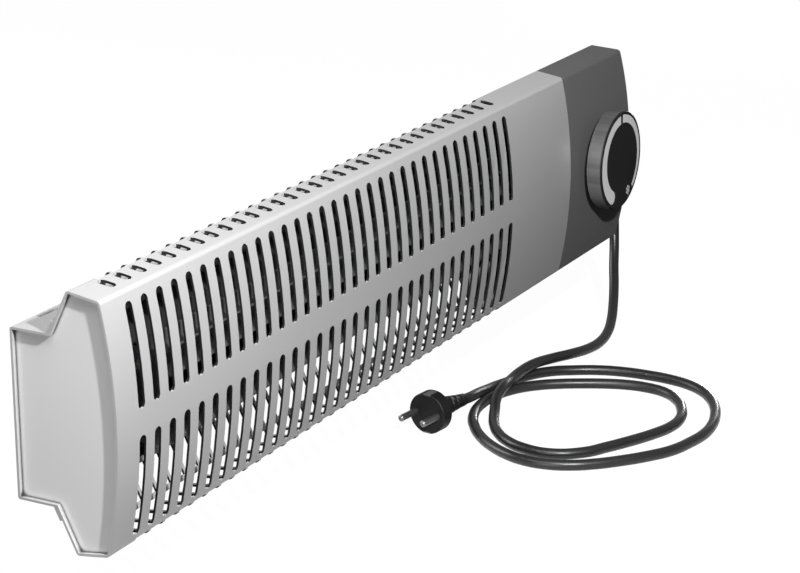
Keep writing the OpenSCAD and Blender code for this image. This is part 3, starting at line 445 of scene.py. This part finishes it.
# Printing ink, laid thin on the foil: flat black, and flat pale grey
black_ink = grained("black_printing_ink", "#080808", "#0E0E0E", 0.0, 0.5, 0.3, 0.002)
silver_ink = grained("silver_printing_ink", "#D0D0D0", "#DADADA", 0.1, 0.5, 0.3, 0.002)
dress("knob", knob_abs_painted_bands)
dress("knob_face", black_foil)
dress("knob_scale", silver_foil)


def printed_bar(form, length, width, bearing, at):
    """A thin raised stroke that starts at a point of the face and runs along a bearing."""
    lie = Matrix.Rotation(-math.radians(bearing), 4, "Y")
    middle = Vector((at[0], 0.0, at[1])) * MM + lie @ Vector((length / 2 * MM, 0.0, 0.0))
    size = Matrix.Diagonal((length * MM, print_lift, width * MM, 1.0))
    bmesh.ops.create_cube(form, size=1.0, matrix=Matrix.Translation(middle) @ lie @ size)


def printed(name, form, ink):
    """Finish a print on the knob's face: it turns with the dial."""
    mesh = bpy.data.meshes.new(name)
    bmesh.ops.translate(form, verts=form.verts, vec=knob_centre - Vector((0, print_lift / 2, 0)))
    form.to_mesh(mesh)
    form.free()
    mesh.materials.append(ink)
    made = bpy.data.objects.new(name, mesh)
    bpy.context.collection.objects.link(made)
    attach(made, "dial")


tick_form = bmesh.new()
printed_bar(tick_form, tick_length, tick_width, tick_bearing, tick_at)
printed("dial_tick", tick_form, black_ink)

# Three bars run through the snowflake's middle, and each of its arms carries a fork
flake_form = bmesh.new()
for arm in range(flake_arms):
    bearing = 30 + 360 / flake_arms * arm
    outward = Vector((math.cos(math.radians(bearing)), math.sin(math.radians(bearing))))
    if arm < flake_arms / 2:
        start = flake_at - flake_across / 2 * outward
        printed_bar(flake_form, flake_across, arm_width, bearing, start)
    for side in (-45, 45):
        printed_bar(flake_form, fork_length, fork_width, bearing + side, flake_at + fork_out * outward)
printed("snowflake_mark", flake_form, silver_ink)

# Plug
# A round two-pin plug moulded in one with its tapered sleeve, which droops to meet the cord. The
# pins and the earth contacts at its sides are nickel-plated brass, held in the moulding.
# PVC, overmoulded: black and dull, darker than the flex
plug_pvc = grained("moulded_pvc", "#080808", "#101010", 0.0, 0.52, 0.9, 0.004, shine=0.22)
# Nickel plate on turned brass: a soft grey metal, dulled by use
nickel = grained("nickel_plate", "#6E6E6D", "#7E7E7D", 1.0, 0.46, 1.0, 0.003)
dress("plug_body", plug_pvc)
dress("plug_pins", nickel)
dress("plug_earth_clips", nickel)

# Studio
# A white floor and a white field for the camera; for all else the room is a dim grey, so the
# lamps shape the front: near white at the upper left, falling to mid grey at the lower right.
# Two soft lamps stand behind and at the right, for the sides that the photograph hides.
floor_z = -159.5 * MM
floor_size = 8.0
floor_mesh = bpy.data.meshes.new("floor")
floor_form = bmesh.new()
bmesh.ops.create_grid(floor_form, x_segments=1, y_segments=1, size=floor_size / 2)
bmesh.ops.translate(floor_form, verts=floor_form.verts, vec=(0, 0, floor_z))
floor_form.to_mesh(floor_mesh)
floor_form.free()
floor = bpy.data.objects.new("floor", floor_mesh)
bpy.context.collection.objects.link(floor)

# The camera sees a white floor that mostly glows and keeps a faint shadow. A reflection that
# meets it close by sees it pale, a painted reflection that lays a pale rim along the cord near
# the floor; to every other ray it is dark grey.
glow_strength = 1.06
glow_share = 0.9
close_reach = 0.12
pure_white = linear("#FFFFFF")
pale_floor = linear("#EEEEEE")
dark_floor = linear("#303030")
floor_paint, floor_tree = start_material("white_floor")
glow = add(floor_tree, "ShaderNodeEmission", {"Color": pure_white, "Strength": glow_strength})
floor_ray = add(floor_tree, "ShaderNodeLightPath").outputs
seen = floor_ray["Is Camera Ray"]
# Painted reflection: glossy rays that meet the floor within close_reach see it pale.
close = add(
    floor_tree, "ShaderNodeMath", {0: floor_ray["Ray Length"], 1: close_reach}, operation="LESS_THAN"
)
painted_floor_reflection = add(
    floor_tree, "ShaderNodeMath",
    {0: close.outputs[0], 1: floor_ray["Is Glossy Ray"]}, operation="MULTIPLY",
)
shown = add(floor_tree, "ShaderNodeMath", {0: seen, 1: painted_floor_reflection.outputs[0]}, operation="MAXIMUM")
floor_colour = add(
    floor_tree, "ShaderNodeMix", {"Factor": shown.outputs[0], "A": dark_floor, "B": pale_floor},
    data_type="RGBA",
)
matt = add(floor_tree, "ShaderNodeBsdfDiffuse", {"Color": floor_colour.outputs["Result"]})
glowing = add(floor_tree, "ShaderNodeMath", {0: seen, 1: glow_share}, operation="MULTIPLY")
floor_finish = add(
    floor_tree, "ShaderNodeMixShader",
    {"Fac": glowing.outputs[0], 1: matt.outputs[0], 2: glow.outputs[0]},
)
close_material(floor_tree, floor_finish)
floor_mesh.materials.append(floor_paint)

# White for the camera, less in reflections, and dim for the light that falls on the object
background_level = 1.0
reflected_level = 0.45
room_level = 0.06
world = bpy.data.worlds.new("studio")
bpy.context.scene.world = world
world.use_nodes = True
air = world.node_tree
air.nodes.clear()
air_ray = add(air, "ShaderNodeLightPath").outputs
room = add(air, "ShaderNodeBackground", {"Color": pure_white, "Strength": room_level})
reflected = add(air, "ShaderNodeBackground", {"Color": pure_white, "Strength": reflected_level})
background = add(air, "ShaderNodeBackground", {"Color": pure_white, "Strength": background_level})
unseen = add(
    air, "ShaderNodeMixShader",
    {"Fac": air_ray["Is Glossy Ray"], 1: room.outputs[0], 2: reflected.outputs[0]},
)
either = add(
    air, "ShaderNodeMixShader",
    {"Fac": air_ray["Is Camera Ray"], 1: unseen.outputs[0], 2: background.outputs[0]},
)
add(air, "ShaderNodeOutputWorld", {"Surface": either.outputs[0]})


def lamp(name, at, towards, size, power):
    """A square lamp aimed at a point: the larger it is, the softer its shadows."""
    data = bpy.data.lights.new(name, "AREA")
    data.shape = "SQUARE"
    data.size = size
    data.energy = power
    made = bpy.data.objects.new(name, data)
    made.location = at
    made.rotation_euler = (Vector(towards) - Vector(at)).to_track_quat("-Z", "Y").to_euler()
    bpy.context.collection.objects.link(made)


lamp("front_left", (-0.5, -0.24, 0.58), (-0.25, -0.065, 0.03), 0.3, 3.8)
lamp("side", (-2.5, -0.3, 0.2), (-0.35, -0.03, 0.0), 1.2, 31.0)
lamp("hard", (-0.5, -0.58, 0.475), (0.1, -0.07, 0.0), 0.03, 14.0)
lamp("behind", (-0.2, 2.0, 0.9), (0.0, 0.0, 0.0), 1.0, 26.0)
lamp("right", (2.1, 0.2, -0.1), (0.35, 0.0, 0.0), 0.25, 14.0)
bpy.context.scene.view_settings.view_transform = "Standard"
